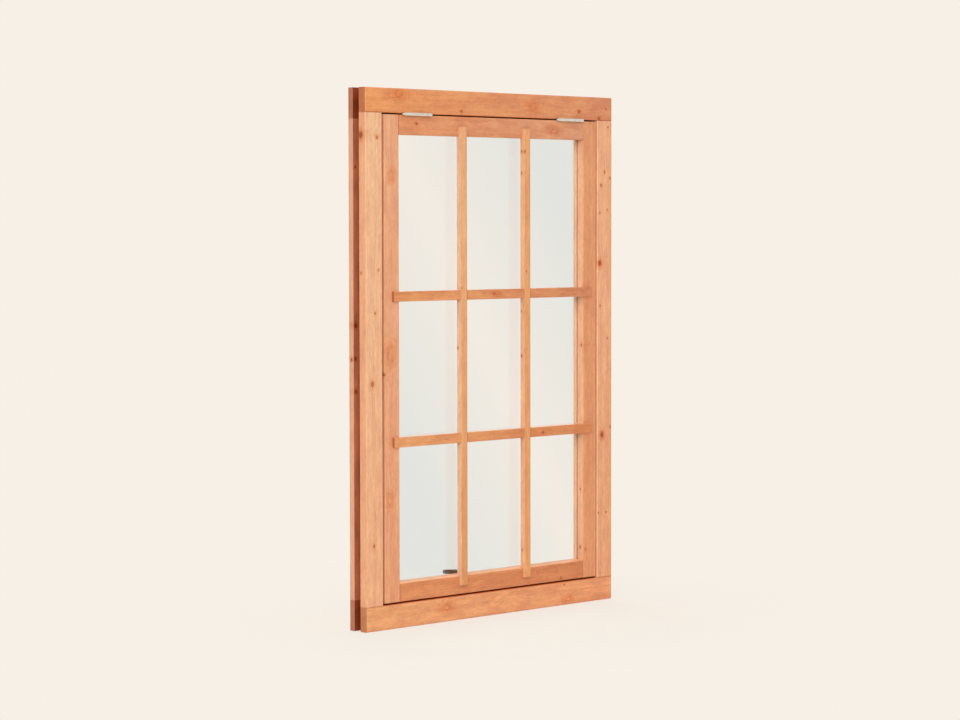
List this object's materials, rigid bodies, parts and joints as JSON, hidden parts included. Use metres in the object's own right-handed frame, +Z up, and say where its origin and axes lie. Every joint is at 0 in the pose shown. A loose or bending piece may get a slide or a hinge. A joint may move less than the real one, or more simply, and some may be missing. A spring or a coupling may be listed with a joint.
{
  "type": "top hung awning window",
  "caption": "Stained softwood awning window: a grooved frame for board walls, a sash hinged at its top edge, let-in glazing bars over one glass sheet and an inside lever latch.",
  "frame": {"origin": "middle of the floor of the sill's groove, where the window stands on the wall board's edge", "axes": "+X to the right seen from outside, +Y inwards through the wall, +Z up"},
  "size_m": [0.79, 0.0904, 1.18],
  "materials": {
    "frame_boards": "satin stain",
    "frame_core": "satin stain",
    "inner_boards": "satin stain",
    "sash_wood": "satin stain",
    "bar_wood": "satin stain",
    "pane_glass": "polished",
    "hinge_steel": "zinc plated",
    "latch_iron": "satin"
  },
  "bodies": {
    "root": {"outer_head_board": "frame_boards", "outer_sill_board": "frame_boards", "outer_left_board": "frame_boards", "outer_right_board": "frame_boards", "core_head": "frame_core", "core_sill": "frame_core", "core_left_jamb": "frame_core", "core_right_jamb": "frame_core", "inner_head_board": "inner_boards", "inner_sill_board": "inner_boards", "inner_left_board": "inner_boards", "inner_right_board": "inner_boards", "sash_left_stile": "sash_wood", "sash_right_stile": "sash_wood", "sash_top_rail": "sash_wood", "sash_bottom_rail": "sash_wood", "bead_top": "sash_wood", "bead_bottom": "sash_wood", "bead_left": "sash_wood", "bead_right": "sash_wood", "upright_bar_left": "bar_wood", "upright_bar_right": "bar_wood", "cross_bar_lower": "bar_wood", "cross_bar_upper": "bar_wood", "glass_pane": "pane_glass", "hinge_left_frame_leaf": "hinge_steel", "hinge_left_sash_leaf": "hinge_steel", "hinge_left_pin": "hinge_steel", "hinge_right_frame_leaf": "hinge_steel", "hinge_right_sash_leaf": "hinge_steel", "hinge_right_pin": "hinge_steel", "latch_base": "latch_iron", "latch_lever": "latch_iron", "latch_keep": "latch_iron"}
  },
  "joints": []
}
